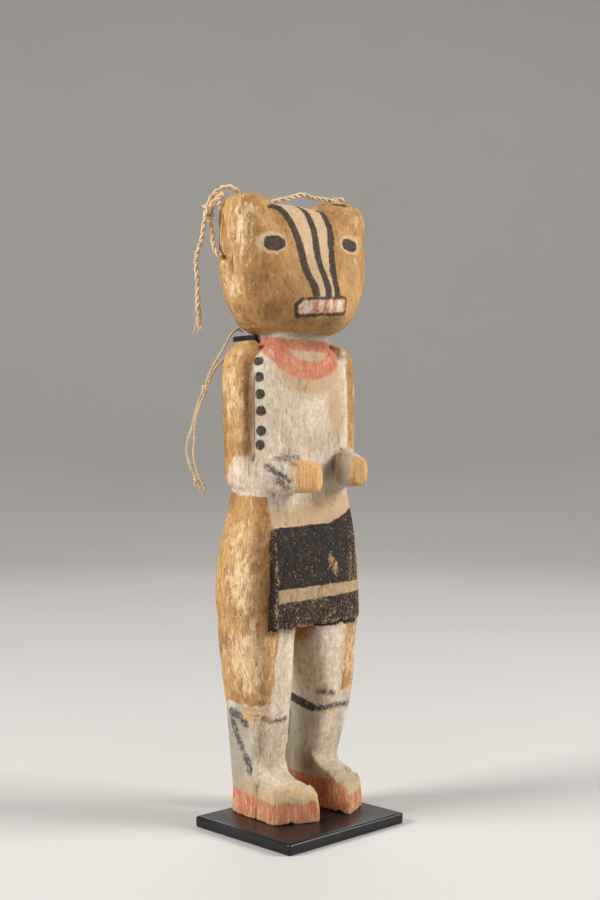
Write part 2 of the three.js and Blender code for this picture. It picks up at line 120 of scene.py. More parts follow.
class Shader:
    """A node material under construction, with the noise coordinates in millimetres."""

    def __init__(self, name):
        self.material = bpy.data.materials.new(name)
        self.material.use_nodes = True
        self.nodes = self.material.node_tree.nodes
        self.links = self.material.node_tree.links
        self.surface = self.nodes["Principled BSDF"]
        place = self.nodes.new("ShaderNodeTexCoord").outputs["Object"]
        self.place = self.vector("MULTIPLY", place, (1 / MM,) * 3)

    def put(self, socket, value):
        """Links a socket to another's value, or sets it to a number or a colour."""
        if isinstance(value, bpy.types.NodeSocket):
            self.links.new(value, socket)
        elif socket.type == "RGBA":
            socket.default_value = (*value, 1)
        else:
            socket.default_value = value

    def vector(self, operation, a, b):
        node = self.nodes.new("ShaderNodeVectorMath")
        node.operation = operation
        self.put(node.inputs[0], a)
        self.put(node.inputs[1], b)
        return node.outputs[0]

    def math(self, operation, a, b=0.0):
        node = self.nodes.new("ShaderNodeMath")
        node.operation = operation
        self.put(node.inputs[0], a)
        self.put(node.inputs[1], b)
        return node.outputs[0]

    def rise(self, value, low, high, to_low=0.0, to_high=1.0):
        """A smooth rise from to_low at low to to_high at high."""
        node = self.nodes.new("ShaderNodeMapRange")
        node.interpolation_type = "SMOOTHSTEP"
        for socket, number in zip(node.inputs, (value, low, high, to_low, to_high)):
            self.put(socket, number)
        return node.outputs[0]

    def blotch(self, size, detail=3.0, roughness=0.55, seed=0.0):
        """Noise from 0 to 1 with lumps of size millimetres along x, y and z."""
        node = self.nodes.new("ShaderNodeTexNoise")
        scaled = self.vector("DIVIDE", self.place, size)
        self.put(node.inputs["Vector"], self.vector("ADD", scaled, (seed,) * 3))
        node.inputs["Scale"].default_value = 1
        node.inputs["Detail"].default_value = detail
        node.inputs["Roughness"].default_value = roughness
        return node.outputs["Fac"]

    def mix(self, share, first, second):
        """The first colour where share is 0, and the second where it is 1."""
        node = self.nodes.new("ShaderNodeMix")
        node.data_type = "RGBA"
        self.put(node.inputs["Factor"], share)
        self.put(node.inputs[6], first)
        self.put(node.inputs[7], second)
        return node.outputs[2]

    def field(self, name):
        """A number kept on the mesh's points."""
        node = self.nodes.new("ShaderNodeAttribute")
        node.attribute_name = name
        return node.outputs["Fac"]

    def bump(self, height, distance, strength):
        node = self.nodes.new("ShaderNodeBump")
        node.inputs["Distance"].default_value = distance
        node.inputs["Strength"].default_value = strength
        self.put(node.inputs["Height"], height)
        self.put(self.surface.inputs["Normal"], node.outputs["Normal"])

    def finish(self, colour, roughness, specular):
        self.put(self.surface.inputs["Base Color"], colour)
        self.put(self.surface.inputs["Roughness"], roughness)
        self.put(self.surface.inputs["Specular IOR Level"], specular)
        return self.material


# ---------------------------------------------------------------- cords


def cotton(name, pale, deep):
    """Dusty old cotton: fibres along the thread, darker between them."""
    shader = Shader(name)
    fibres = shader.blotch((0.22, 0.22, 0.5), detail=4)
    darkening = shader.blotch((4, 4, 6), detail=2, seed=3)
    colour = shader.mix(shader.rise(fibres, 0.35, 0.65), linear(*deep), linear(*pale))
    colour = shader.mix(shader.rise(darkening, 0.45, 0.7, 0, 0.35), colour, linear(160, 128, 90))
    shader.bump(fibres, 0.12 * MM, 0.9)
    return shader.finish(colour, 0.92, specular=0.2)


COTTON = cotton("old_cotton", pale=(244, 224, 188), deep=(202, 168, 124))

# Routes in the row frame, in millimetres; each is the centre line of its CAD tube.
EAR_ROUTE = [
    (-27.3, 13.2, 203.1), (-28.2, 14, 203.8), (-28.7, 15.1, 205.8), (-28.5, 16.4, 208.8),
    (-28.2, 17.3, 212.1), (-28, 18.4, 216.1), (-27.9, 19.8, 219.8), (-26.9, 20.4, 222.8),
    (-25.6, 19.8, 225.6), (-23.8, 18.1, 227.9), (-22, 15.7, 228.7), (-20, 14.4, 228),
    (-17.6, 15.6, 227), (-16, 18.9, 225.6), (-16.2, 22, 222.8), (-18.2, 23, 221.4),
    (-20.6, 21.8, 223.2), (-22.6, 18.2, 225.8), (-25.2, 15.8, 225.4), (-27.6, 15.6, 223.6),
    (-29, 16.8, 221.4), (-29.9, 17.8, 218.8), (-30.6, 18.2, 216.4), (-30.9, 18.6, 214),
    (-31.1, 19, 210.4), (-31.7, 19.5, 207.2), (-32.4, 20.2, 204.4), (-32.7, 20.5, 200.9),
    (-32.5, 20.3, 196.6), (-32.3, 20.1, 192.4), (-32.3, 20.1, 187.8), (-32.2, 20, 182.8),
    (-31.7, 19.5, 177.5),
]
CROWN_ROUTE = [
    (-2.6, 15, 224.2), (-2.4, 14.2, 225), (-1.8, 12.8, 225.8), (-0.3, 11.2, 226.2), (2.6, 10, 227),
    (5.7, 9.8, 228.2), (8.8, 9.5, 229.1), (11.8, 9.4, 229), (14.5, 9.6, 228.6),
    (17.8, 9.2, 228.6), (20, 8.9, 228.7), (22, 8.6, 228.6), (23.6, 8.3, 228.4), (25, 8, 228.4),
    (26, 7.9, 228.5),
]
NECK_ROUTE = [
    (-7.6, 24.6, 178.4), (-11, 22.6, 179), (-13.6, 20.2, 178.4), (-16.4, 18.8, 177.4),
    (-18.8, 18.4, 175.4), (-20.8, 18.5, 172.4), (-22.6, 19.2, 169.1), (-24.6, 19.8, 165.8),
    (-26.5, 20.1, 162.5), (-27.9, 20.1, 159.6), (-29.1, 19.8, 156.7), (-30.9, 20.1, 153.8),
    (-32.4, 20.2, 150.3), (-33.7, 20.1, 146.4), (-34.6, 20.9, 142.1), (-35.5, 21.8, 138.2),
    (-35.8, 22.1, 134.7), (-35.3, 21.7, 131.2), (-34.4, 20.8, 127.6), (-33.4, 19.8, 124.5),
    (-32.5, 18.9, 121.6), (-31, 18.7, 119.7), (-29.2, 19.6, 120.7), (-29.7, 20.6, 123),
    (-30.8, 21.6, 126), (-31.6, 22.3, 129.4), (-32.1, 22.7, 133.6), (-31.8, 22.6, 138.3),
    (-31.5, 22.5, 142.9), (-30.8, 22, 147.5), (-29.6, 21.4, 151.8), (-27.6, 21.4, 155.4),
    (-25.7, 22, 158.7), (-23.8, 22.6, 161.6), (-21, 23.4, 164.4), (-17.4, 24.2, 167),
    (-13.6, 24.8, 170), (-10, 25, 173), (-6.8, 24.8, 175.6), (-4, 24.6, 177.6),
]
THICK_CORD = 1.8
THIN_CORD = 1.0
PLIES = 2
# In cord diameters: the length of one turn, and each ply's distance from the middle and radius.
PLY_PITCH = 3.1
PLY_OFFSET = 0.25
PLY_RADIUS = 0.255
UNEVEN_EVERY = 6  # millimetres between changes in how the plies turn
HAIR_RADIUS = 0.035
HAIR_REACH = 1.6
TUFT_RADII = (0.06, 0.14)


def smooth_route(route, step, closed=False):
    """Points step apart along a Catmull-Rom curve through the route."""
    points = np.array(route, float)
    if closed:
        points = np.vstack([points[-1], points, points[:2]])
    else:
        points = np.vstack([2 * points[0] - points[1], points, 2 * points[-1] - points[-2]])
    t = np.linspace(0, 1, 12, endpoint=False)[:, None]
    dense = []
    for a, b, c, d in zip(points, points[1:], points[2:], points[3:]):
        curve = 2 * b + (c - a) * t + (2 * a - 5 * b + 4 * c - d) * t**2
        dense.append((curve + (3 * b - a - 3 * c + d) * t**3) / 2)
    dense = np.vstack([*dense, points[-2]])
    run = np.concatenate([[0], np.cumsum(np.linalg.norm(np.diff(dense, axis=0), axis=1))])
    places = np.linspace(0, run[-1], max(3, int(round(run[-1] / step)) + 1))
    return np.stack([np.interp(places, run, dense[:, k]) for k in range(3)], axis=1)


def side_frames(path):
    """Two unit vectors across the path at each of its points, without sudden turns."""
    along = np.gradient(path, axis=0)
    along /= np.linalg.norm(along, axis=1, keepdims=True)
    side = np.cross(along[0], (0.3, 0.2, 0.93))
    sides = []
    for direction in along:
        side = side - direction * np.dot(side, direction)
        side = side / np.linalg.norm(side)
        sides.append(side)
    sides = np.array(sides)
    return sides, np.cross(along, sides)


def tube(path, radius, sides=7):
    """Vertices and faces of a closed round tube; radius is one number or one per point."""
    radius = np.broadcast_to(radius, len(path))
    across, up = side_frames(path)
    vertices, faces = [], []
    for centre, r, u, v in zip(path, radius, across, up):
        for k in range(sides):
            angle = 2 * math.pi * k / sides
            vertices.append(centre + r * (math.cos(angle) * u + math.sin(angle) * v))
    for ring in range(len(path) - 1):
        for k in range(sides):
            a, b = ring * sides + k, ring * sides + (k + 1) % sides
            faces.append((a, b, b + sides, a + sides))
    faces.append(tuple(range(sides))[::-1])
    faces.append(tuple(range((len(path) - 1) * sides, len(path) * sides)))
    return vertices, faces


def joined(parts):
    """One list of vertices and one of faces from several pairs."""
    vertices, faces = [], []
    for part_vertices, part_faces in parts:
        base = len(vertices)
        vertices.extend(part_vertices)
        faces.extend(tuple(base + k for k in face) for face in part_faces)
    return vertices, faces


def plies(path, diameter, rng):
    """The separate yarns of a twisted cord that follows the path."""
    across, up = side_frames(path)
    run = np.concatenate([[0], np.cumsum(np.linalg.norm(np.diff(path, axis=0), axis=1))])
    knees = np.arange(0, run[-1] + UNEVEN_EVERY, UNEVEN_EVERY)
    uneven = np.interp(run, knees, rng.uniform(-0.5, 0.5, len(knees)))
    parts = []
    for ply in range(PLIES):
        angle = 2 * math.pi * (run / (PLY_PITCH * diameter) + ply / PLIES) + uneven
        outward = np.cos(angle)[:, None] * across + np.sin(angle)[:, None] * up
        swell = 1 + 0.1 * np.sin(run * 1.7 + 2 * ply) + 0.07 * np.sin(run * 4.3)
        parts.append(tube(path + PLY_OFFSET * diameter * outward, PLY_RADIUS * diameter * swell))
    return parts


def hairs(path, diameter, rng, count):
    """Loose fibres that stand off the cord."""
    parts = []
    for _ in range(count):
        start = path[rng.integers(2, len(path) - 2)]
        way = rng.normal(size=3)
        way /= np.linalg.norm(way)
        bend = rng.normal(size=3) * 0.5
        length = HAIR_REACH * rng.uniform(0.4, 1)
        t = np.linspace(0, 1, 5)[:, None]
        line = start + way * diameter * 0.4 + length * (way * t + bend * t**2)
        parts.append(tube(line, HAIR_RADIUS, sides=3))
    return parts


def add_cotton(name, parts):
    """One piece of cotton from the vertices and faces of its threads."""
    vertices, faces = joined(parts)
    piece = add_piece(name, np.asarray(vertices) * MM, faces, COTTON)
    return piece


def add_cord(name, route, diameter, node, rng, hair_count):
    """A twisted cord that stands for its CAD tube, its loose fibres and the path it follows."""
    path = smooth_route(route, 0.22 * diameter)
    piece = add_cotton(name, plies(path, diameter, rng))
    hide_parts(node)
    fibres = add_cotton(name + "_fibres", hairs(path, diameter, rng, hair_count))
    return piece, fibres, path


def add_knot(name, centre, diameter, radius, turn, rng):
    """A small overhand knot, as a three-lobed closed loop of twisted cord."""
    t = np.linspace(0, 2 * math.pi, 24, endpoint=False)
    lobes = np.stack([
        np.sin(t) + 2 * np.sin(2 * t),
        np.cos(t) - 2 * np.cos(2 * t),
        -1.5 * np.sin(3 * t),
    ], axis=1) * radius / 3
    angle = math.radians(turn)
    spin = np.array([
        [math.cos(angle), -math.sin(angle), 0], [math.sin(angle), math.cos(angle), 0], [0, 0, 1],
    ])
    tip = np.array([[1, 0, 0], [0, 0, -1], [0, 1, 0]])
    path = smooth_route(lobes @ tip.T @ spin.T + centre, 0.3 * diameter, closed=True)
    return add_cotton(name, plies(path, diameter, rng))


def add_tuft(name, top, fall, spread, rng, count):
    """Frayed cord: fine fibres that hang from top and part as they fall."""
    parts = []
    t = np.linspace(0, 1, 9)[:, None]
    for _ in range(count):
        lean = rng.normal(size=3) * spread * np.array([1, 1, 0.2])
        curl = rng.normal(size=3) * 0.35
        drop = np.array([0, 0, -fall * rng.uniform(0.55, 1)])
        start = np.array(top) + rng.normal(size=3) * 0.25
        line = start + drop * t + lean * t**1.5 + curl * np.sin(5 * t + rng.uniform(0, 6))
        parts.append(tube(line, rng.uniform(*TUFT_RADII) * (1 - 0.5 * t[:, 0]), sides=4))
    return add_cotton(name, parts)


def add_cords():
    """The three cords with their knots and tufts."""
    rng = np.random.default_rng(5)
    ear, ear_fibres, ear_path = add_cord("ear_string", EAR_ROUTE, THICK_CORD, "ear_cord", rng, 90)
    crown, crown_fibres, crown_path = add_cord(
        "crown_string", CROWN_ROUTE, THICK_CORD, "crown_cord", rng, 40)
    neck, neck_fibres, neck_path = add_cord(
        "neck_string", NECK_ROUTE, THIN_CORD, "neck_cord", rng, 90)

    ear_knot = add_knot("ear_knot", (-28.6, 18.6, 219.6), 1.5, 2.3, 20, rng)
    tuft_high = add_tuft("ear_tuft_high", (-32.2, 20, 189), 10, 1.3, rng, 26)
    tuft_low = add_tuft("ear_tuft_low", (-32.1, 20, 184.5), 9, 1.1, rng, 26)
    crown_knot = add_knot("crown_knot", (26.2, 7.9, 228.2), 1.4, 2.0, -30, rng)
    neck_knot = add_knot("neck_knot", (-29.1, 20.2, 156.4), 0.9, 1.5, 50, rng)
    end_knot = add_knot("end_knot", (-33, 19.6, 123.6), 0.9, 1.5, 10, rng)


add_cords()

# ---------------------------------------------------------------- fine copies of CAD solids

FIGURE_VOXEL = 0.68
# Shares by which points move toward their neighbours, in turn: the first smooth the grid's steps
# away without shrinking the form, and the others wear its edges round.
KEEP_FORM = (0.5, -0.53) * 3
ROUND_OFF = (0.5,) * 14
INSTEPS = ((-15, 5, 1.9), (-10.5, 4.4, 1.3))  # right and left: middle (y), half length, height


def fine_copy(node, voxel):
    """The CAD node's surface on an even grid: points in the doll's frame, and quad faces."""
    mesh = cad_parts[node].data.copy()
    points = np.empty(len(mesh.vertices) * 3, np.float32)
    mesh.vertices.foreach_get("co", points)
    mesh.vertices.foreach_set("co", points / MM)
    holder = bpy.data.objects.new("grid", mesh)
    bpy.context.collection.objects.link(holder)
    remesh = holder.modifiers.new("grid", "REMESH")
    remesh.mode = "VOXEL"
    remesh.voxel_size = voxel
    even = holder.evaluated_get(bpy.context.evaluated_depsgraph_get()).to_mesh()
    points = np.empty(len(even.vertices) * 3, np.float32)
    even.vertices.foreach_get("co", points)
    faces = np.array([tuple(p.vertices) for p in even.polygons])
    bpy.data.objects.remove(holder)
    bpy.data.meshes.remove(mesh)
    return points.reshape(-1, 3).astype(float) - DOLL_ORIGIN, faces


class Surface:
    """A carved or folded surface as points and quads."""

    def __init__(self, points, faces):
        self.points = points
        self.faces = faces
        edges = np.vstack([faces[:, [k, (k + 1) % 4]] for k in range(4)])
        self.ends = np.vstack([edges, edges[:, ::-1]])
        self.degree = np.bincount(self.ends[:, 0], minlength=len(points)).astype(float)

    def spread(self, values):
        """The mean of each point's neighbours."""
        first, second = self.ends.T
        if values.ndim == 1:
            return np.bincount(first, values[second], len(values)) / self.degree
        return np.stack([self.spread(column) for column in values.T], axis=1)

    def smoothed(self, values, shares):
        """Moves values toward their neighbours' mean by each share in turn."""
        for share in shares:
            values = values + share * (self.spread(values) - values)
        return values

    def normals(self):
        """The unit normal at each point."""
        a, b, c, d = (self.points[self.faces[:, k]] for k in range(4))
        face = np.cross(c - a, d - b)
        total = np.zeros_like(self.points)
        for k in range(4):
            for axis in range(3):
                total[:, axis] += np.bincount(self.faces[:, k], face[:, axis], len(self.points))
        return total / np.maximum(np.linalg.norm(total, axis=1, keepdims=True), 1e-9)

    def push(self, height):
        """Moves each point by height along its normal."""
        self.points = self.points + self.normals() * height[:, None]


def shape_feet(surface):
    """Wears the upper edges of the feet round and fills their insteps."""
    worn = surface.smoothed(surface.points, ROUND_OFF)
    x, y, z = surface.points.T
    on_feet = step_between(-z, -19, -15)
    share = on_feet * step_between(z, 4.5, 8)
    hills = [height * np.exp(-((y - middle) / half) ** 2) for middle, half, height in INSTEPS]
    facing_up = step_between(surface.normals()[:, 2], 0.1, 0.5)
    surface.points = surface.points + share[:, None] * (worn - surface.points)
    surface.points[:, 2] += np.where(x < 0, *hills) * on_feet * facing_up


def figure_surface():
    """The CAD figure's surface on a fine grid."""
    surface = Surface(*fine_copy("figure", FIGURE_VOXEL))
    surface.points = surface.smoothed(surface.points, KEEP_FORM)
    shape_feet(surface)
    return surface


# ---------------------------------------------------------------- distances on the surface

# Each painted area is a signed distance in millimetres: below 0 inside it, above 0 outside.


def stroke(across, up, points, half):
    """Distance to a smooth line through (across, up) points, less its half width."""
    line = smooth_route([(a, b, 0) for a, b in points], 1.0)[:, :2]
    place = np.stack([across, up], axis=1)
    nearest = np.full(len(place), 1e9)
    for a, b in zip(line, line[1:]):
        way = b - a
        t = np.clip((place - a) @ way / (way @ way), 0, 1)
        nearest = np.minimum(nearest, np.linalg.norm(place - a - t[:, None] * way, axis=1))
    return nearest - half


def ellipse(across, up, centre, radii, tilt=0.0):
    """Roughly the distance to an ellipse, and exact along its shorter radius."""
    angle = math.radians(tilt)
    a, b = across - centre[0], up - centre[1]
    along = (a * math.cos(angle) + b * math.sin(angle)) / radii[0]
    over = (b * math.cos(angle) - a * math.sin(angle)) / radii[1]
    return (np.hypot(along, over) - 1) * min(radii)


def slab(across, up, centre, halves, tilt=0.0, corner=0.6):
    """Distance to a rectangle with rounded corners."""
    angle = math.radians(tilt)
    a, b = across - centre[0], up - centre[1]
    along = np.abs(a * math.cos(angle) + b * math.sin(angle)) - halves[0] + corner
    over = np.abs(b * math.cos(angle) - a * math.sin(angle)) - halves[1] + corner
    outside = np.hypot(np.maximum(along, 0), np.maximum(over, 0))
    return outside + np.minimum(np.maximum(along, over), 0) - corner


def ball(points, centre, radius):
    """Distance to a ball."""
    return np.linalg.norm(points - centre, axis=1) - radius


def both(*distances):
    """Distance to what all the areas share."""
    return np.maximum.reduce(distances)


def either(*distances):
    """Distance to the nearest of the areas."""
    return np.minimum.reduce(distances)


def blobs(points, spots):
    """The strongest of some soft 3-D spots, each given by its centre, its radii and its value."""
    total = np.zeros(len(points))
    for centre, radii, value in spots:
        away = ((points - centre) / radii) ** 2
        total = np.maximum(total, value * np.exp(-away.sum(axis=1)))
    return total


# ---------------------------------------------------------------- the face

# Across and up the front of the head; the forehead stripes run back over the top of it.
STRIPES = (
    # line, half width
    ([(-18, 216.2), (-15.2, 216.8), (-12.8, 216), (-11.2, 213.6), (-9.4, 209), (-8.2, 203.9),
      (-7.5, 198.5), (-7.1, 193.1), (-5.8, 189.2), (-4.9, 184.5)], 1.7),
    ([(-3.6, 222), (-1.2, 217), (-0.4, 212), (0, 203.3), (0, 196), (0.6, 190.5), (0.6, 184.5)],
     1.5),
    ([(5.8, 222), (7, 216.6), (7.6, 210.4), (7, 204.7), (6.2, 198.7), (5, 193), (4.6, 184.5)],
     1.4),
)
STRIPES_LOW = 184.6
STRIPES_BACK = 7.5  # how far back (y) they run over the head
FACE_BACK = 1.5
CHIN = 172
EYES = (
    # centre, halves and tilt of the pupil; centre and halves of the ring round it
    ((-18.7, 202.9), (4.7, 2.8), 8, (-19.5, 203), (6.2, 4.1)),
    ((16.8, 205.7), (4, 2.45), -6, (16.9, 205.8), (5.1, 3.7)),
)
MOUTH = (-0.6, 181.7)
MOUTH_HALVES = (11.8, 3.5)
MOUTH_TILT = 5.5
LIP = 1.35
MOUTH_CUT = 8.5  # how far out its upper corner on the doll's right is cut off
TEETH = ((-8, 1.9), (-3, 0.9), (1.6, 0.8), (6.4, 2))  # centre and half width of each


def face_fields(p):
    """Distances to the stripes, eyes, mouth and teeth, and to the pale paint round them."""
    x, y, z = p.T
    front = both(y - FACE_BACK, CHIN - z)
    top = both(y - STRIPES_BACK, CHIN - z, STRIPES_LOW - z)
    uneven = 0.22 * noise(p, (1.6, 1.6, 2.2), 21)

    taper = 1.1 * step_between(-x, 12, 18)
    stripes = [stroke(x, z, line, half) for line, half in STRIPES]
    black = both(either(stripes[0] + taper, *stripes[1:]), top)
    far_ear = both(stroke(x, z, [(15.6, 221.5), (17.4, 221.2), (19.4, 221.4)], 0.6), y + 2)
    black = either(black, far_ear)

    sides = []
    for line, _ in (STRIPES[0], STRIPES[2]):
        heights = [up for _, up in line[::-1]]
        sides.append(np.interp(z, heights, [across for across, _ in line[::-1]]))
    pale = both(sides[0] - x, x - sides[1], top, -12 - x)

    rings = []
    for centre, halves, tilt, ring_centre, ring_halves in EYES:
        black = either(black, both(ellipse(x, z, centre, halves, tilt), front))
        rings.append(both(ellipse(x, z, ring_centre, ring_halves, tilt), front))
    corner = (z - MOUTH[1] - x + MOUTH[0]) * math.sqrt(0.5) - MOUTH_CUT
    lips = both(slab(x, z, MOUTH, MOUTH_HALVES, MOUTH_TILT, 1.5), corner, front)
    inside = slab(x, z, MOUTH, [half - LIP for half in MOUTH_HALVES], MOUTH_TILT, 0.7)
    gums = both(inside, corner + LIP, front)
    teeth = either(*[slab(x + 0.12 * (z - MOUTH[1]), z, (middle, MOUTH[1]), (half, 3.4))
                     for middle, half in TEETH])
    return {
        "black": either(black, both(lips, -gums) + uneven) + uneven,
        "pale": pale,
        "rings": either(*rings) + 1.6 * uneven,
        "gums": gums + 0.5 * uneven,
        "teeth": both(gums, teeth + 3 * uneven),
    }


# ---------------------------------------------------------------- the body's paint

SPOTS = (  # down the seam between the chest and the right arm
    (-20.4, -5, 162), (-21.3, -6.2, 156.3), (-21.4, -6.8, 150.3),
    (-21.1, -7.1, 144.4), (-21.1, -7.1, 137.4), (-21.3, -6.7, 132.5),
)
SPOT_RADIUS = 1.85
COLLAR = ((0.4, 168), (19, 12))
COLLAR_TOP = 170.2
COLLAR_LOW = 163.5
COLLAR_GAP = ((1.8, 166.8), (9.6, 4.2))
COLLAR_WORN = [(-8.6, 163.6), (-5.4, 161), (2.2, 159.8), (9.5, 162.4), (15, 166.8)]
UNDER_CHIN = 169.4
NECK_RADIUS = 17
NECK_BACK = 3
SHOE_TOP = 8.4
CHEST_TOP = 167.6
CHEST_BACK = 3.4  # how far in front of y = 0 its white ends
CHEST_SIDES = (-22.5, 22.4)
WAIST = 114.6
WAIST_SIDE = -19.2
KILT_TOP = 104.1
KILT_HEM = 67
KILT_MIDDLE = 0.5
KILT_HALF = 22.4
BAND_MIDDLE = 80.4
BAND_SLOPE = 0.04
BAND_HALF = 2.15
LEGGING_TOP = 41.6
HANDS = (
    # side, where the forearm starts (x, y), its degrees inward, how far along it the bare hand is
    (-1, (-21.2, 10.6), 25, 28.5),
    (1, (21.2, 10.6), 17, 35.6),
)
HAND_HEIGHTS = (112, 131)
TRUNK_FRONT = 11  # how far in front of y = 0 the hands are clear of the trunk


def brushed(p):
    """How far a brush strayed from each edge."""
    return 0.3 * noise(p, (2.2, 2.2, 2.2), 31)


def under_chin(x):
    """The height of the line between the chin's white and the neck's red."""
    return UNDER_CHIN + 0.22 * np.maximum(-7 - x, 0)


def red_paint(p, normals):
    """Distances to the collar and shoes, and to where the red is worn to the grain."""
    x, y, z = p.T
    ragged = brushed(p)
    collar = both(ellipse(x, z, *COLLAR), z - COLLAR_TOP, y - 0.5)
    neck = both(COLLAR_LOW - z, z - under_chin(x), np.hypot(x, y) - NECK_RADIUS, y - NECK_BACK)
    gap = both(ellipse(x, z, *COLLAR_GAP), z - 166.3, y)
    worn = both(stroke(x, z, COLLAR_WORN, 0.15 + ragged), y)
    collar_red = both(either(collar, neck), -gap, -worn) + ragged

    # The shoes are red round their sides, up to a soft edge below the instep.
    sides = 6 * normals[:, 2] - 3.8
    shoes = both(z - SHOE_TOP - 0.1 * y + 2 * ragged, z - SHOE_TOP - 2.1, sides)
    inner_shoe = both(z - 11, 6 * normals[:, 0] + 3, 7.4 - x, x - 9.6)
    return {
        "red": either(collar_red, shoes, inner_shoe),
        "worn_red": both(z - 12, 4 * np.abs(normals[:, 2]) - 2),
    }


def white_clay(p):
    """Distances to the white clay, and to where it is stained, dingy or dusty."""
    x, y, z = p.T
    ragged = brushed(p)
    near_side = np.where(z > WAIST, CHEST_SIDES[0], WAIST_SIDE)
    # The front's white is cut off slantwise by the right shoulder.
    shoulder = z - 148 - 1.1 * (x + 37)
    front = both(
        y + CHEST_BACK, near_side - x, x - CHEST_SIDES[1], z - CHEST_TOP, shoulder, 101 - z)
    # The forearms are white to a slanting edge on the outside of each elbow.
    elbow = 117 + 2.6 * np.maximum(8 - y, 0)
    low = 114.8 + 0.3 * np.maximum(y - 2, 0)
    near_arm = both(x + 10, z - np.minimum(elbow, 128.6), low - z, y - 9)
    far_arm = both(10 - x, z - np.minimum(elbow, 131), low + 2 - z, y - 9)
    edge = 1.2 * noise(p, (3, 3, 6), 35)
    near_leg = both(y + 6, np.abs(x + 12.6) - 4.6 + edge, z - 70, 30 - z)
    far_leg = both(y - 8, np.abs(x - 10.5) - 6.4, z - 70, 30 - z)
    worn_top = 1.5 * noise(p, (3.4, 3.4, 3), 33) + 2 * ragged
    leggings = both(z - LEGGING_TOP - 0.03 * x + worn_top, 7 - z)
    chin = both(z - CHIN - 0.4, under_chin(x) - 0.3 - z, y - 2)
    stain = either(
        both(ellipse(x, z, (2, 161), (18, 11.5)), z - 167),
        both(z - 113 - 0.2 * x, 102 - z),
        ellipse(x, z, (14, 146), (5, 12)))
    return {
        "white": either(front, near_arm, far_arm, near_leg, far_leg, leggings, chin) + ragged,
        "stain": stain + y / 20,
        "dingy": both(z - 40.5, -2 - 0.4 * y) + 3 * noise(p, (5, 5, 7), 34),
        "dusty": both(z - 13.5, -ellipse(x, y, (-13.5, -11), (4.4, 3.2))) + 3 * ragged,
    }


def kilt_fields(p):
    """Distances to the black kilt and to the plain band above its hem."""
    x, y, z = p.T
    top = KILT_TOP + 0.04 * x + 0.3 * np.maximum(x - 8, 0)
    # The paint ends this far in front of y = 0 on the right and on the left.
    above = z - 68
    depth = np.where(x < 0, 11.4 + 0.022 * above, 8.2 - 0.02 * above)
    panel = both(np.abs(x - KILT_MIDDLE) - KILT_HALF, z - top, KILT_HEM - z, y + depth)
    ripple = 0.2 * noise(p, (2.4, 2.4, 2.4), 41)
    middle = BAND_MIDDLE + BAND_SLOPE * x
    band = both(np.abs(z - middle) - BAND_HALF + 0.012 * x, panel, -20.2 - x)
    return {"kilt": panel + ripple, "kilt_band": band + ripple}


def stray_marks(p):
    """Distances to the spots, the remains of black bands, and odd strokes and smudges."""
    x, y, z = p.T
    near, far = x + 12, 4 - x
    crisp = [ball(p, centre, SPOT_RADIUS) for centre in SPOTS]
    crisp.append(both(stroke(y, z, [(7.4, 38.6), (2, 37.3), (-2.6, 36.2)], 1.7), far, x - 11))
    forearm = [(-10.4, 128), (-16, 126.6), (-18.8, 123.6), (-20.4, 120.4)]
    smudges = either(
        both(stroke(y, z, [(-9, 125.1), (-12, 122.8), (-15.6, 120.2)], 0.95), near),
        both(stroke(y, z, [(-12.3, 119.9), (-14.5, 117.8)], 1.2), near),
        both(stroke(y, z, forearm, 0.6), x + 5),
        both(stroke(y, z, [(6.7, 37.4), (3, 36.4), (0.2, 34.2)], 1.7), near),
        both(stroke(y, z, [(6.6, 34), (4.8, 28), (3.4, 24.6)], 1.3), near),
        both(stroke(y, z, [(2, 21.4), (0.9, 19.4), (0.6, 16.8)], 1.6), near),
        both(stroke(x, z, [(-20, 36.6), (-16, 35), (-9.6, 35.2)], 0.8), y + 5, x + 7),
        both(stroke(x, z, [(8.8, 36.2), (13.7, 36.6), (22, 36.4)], 1.1), y + 3),
        both(stroke(x, z, [(8.6, 42.4), (13.6, 41.4)], 1), y + 5),
        ball(p, (21.6, -5.7, 165.4), 0.9),
    )
    return {"marks": either(*crisp), "smudges": smudges}


def bare_wood(p):
    """Distance to the wood that never was painted or has lost all of its paint."""
    x, y, z = p.T
    ragged = 1.4 * noise(p, (2.6, 2.6, 2.6), 51)
    areas = [
        both(ellipse(y, z, (-3.7, 38.9), (3.4, 0.9)), x + 17) - ragged / 2,
        both(ellipse(y, z, (-3.9, 36.2), (3, 1.3)), x + 17) - ragged / 2,
        both(stroke(x, z, [(15.3, 38.5), (15.2, 32.8), (15.8, 26.9), (15.2, 18)], 0.2), y + 3),
    ]
    for side, (start_x, start_y), turn, bare_from in HANDS:
        angle = math.radians(turn)
        along = side * (start_x - x) * math.sin(angle) + (start_y - y) * math.cos(angle)
        reach = both(bare_from - along, y + TRUNK_FRONT, -side * x + 1)
        areas.append(both(reach, HAND_HEIGHTS[0] - z, z - HAND_HEIGHTS[1]))
    return {"bare": either(*areas) + ragged}
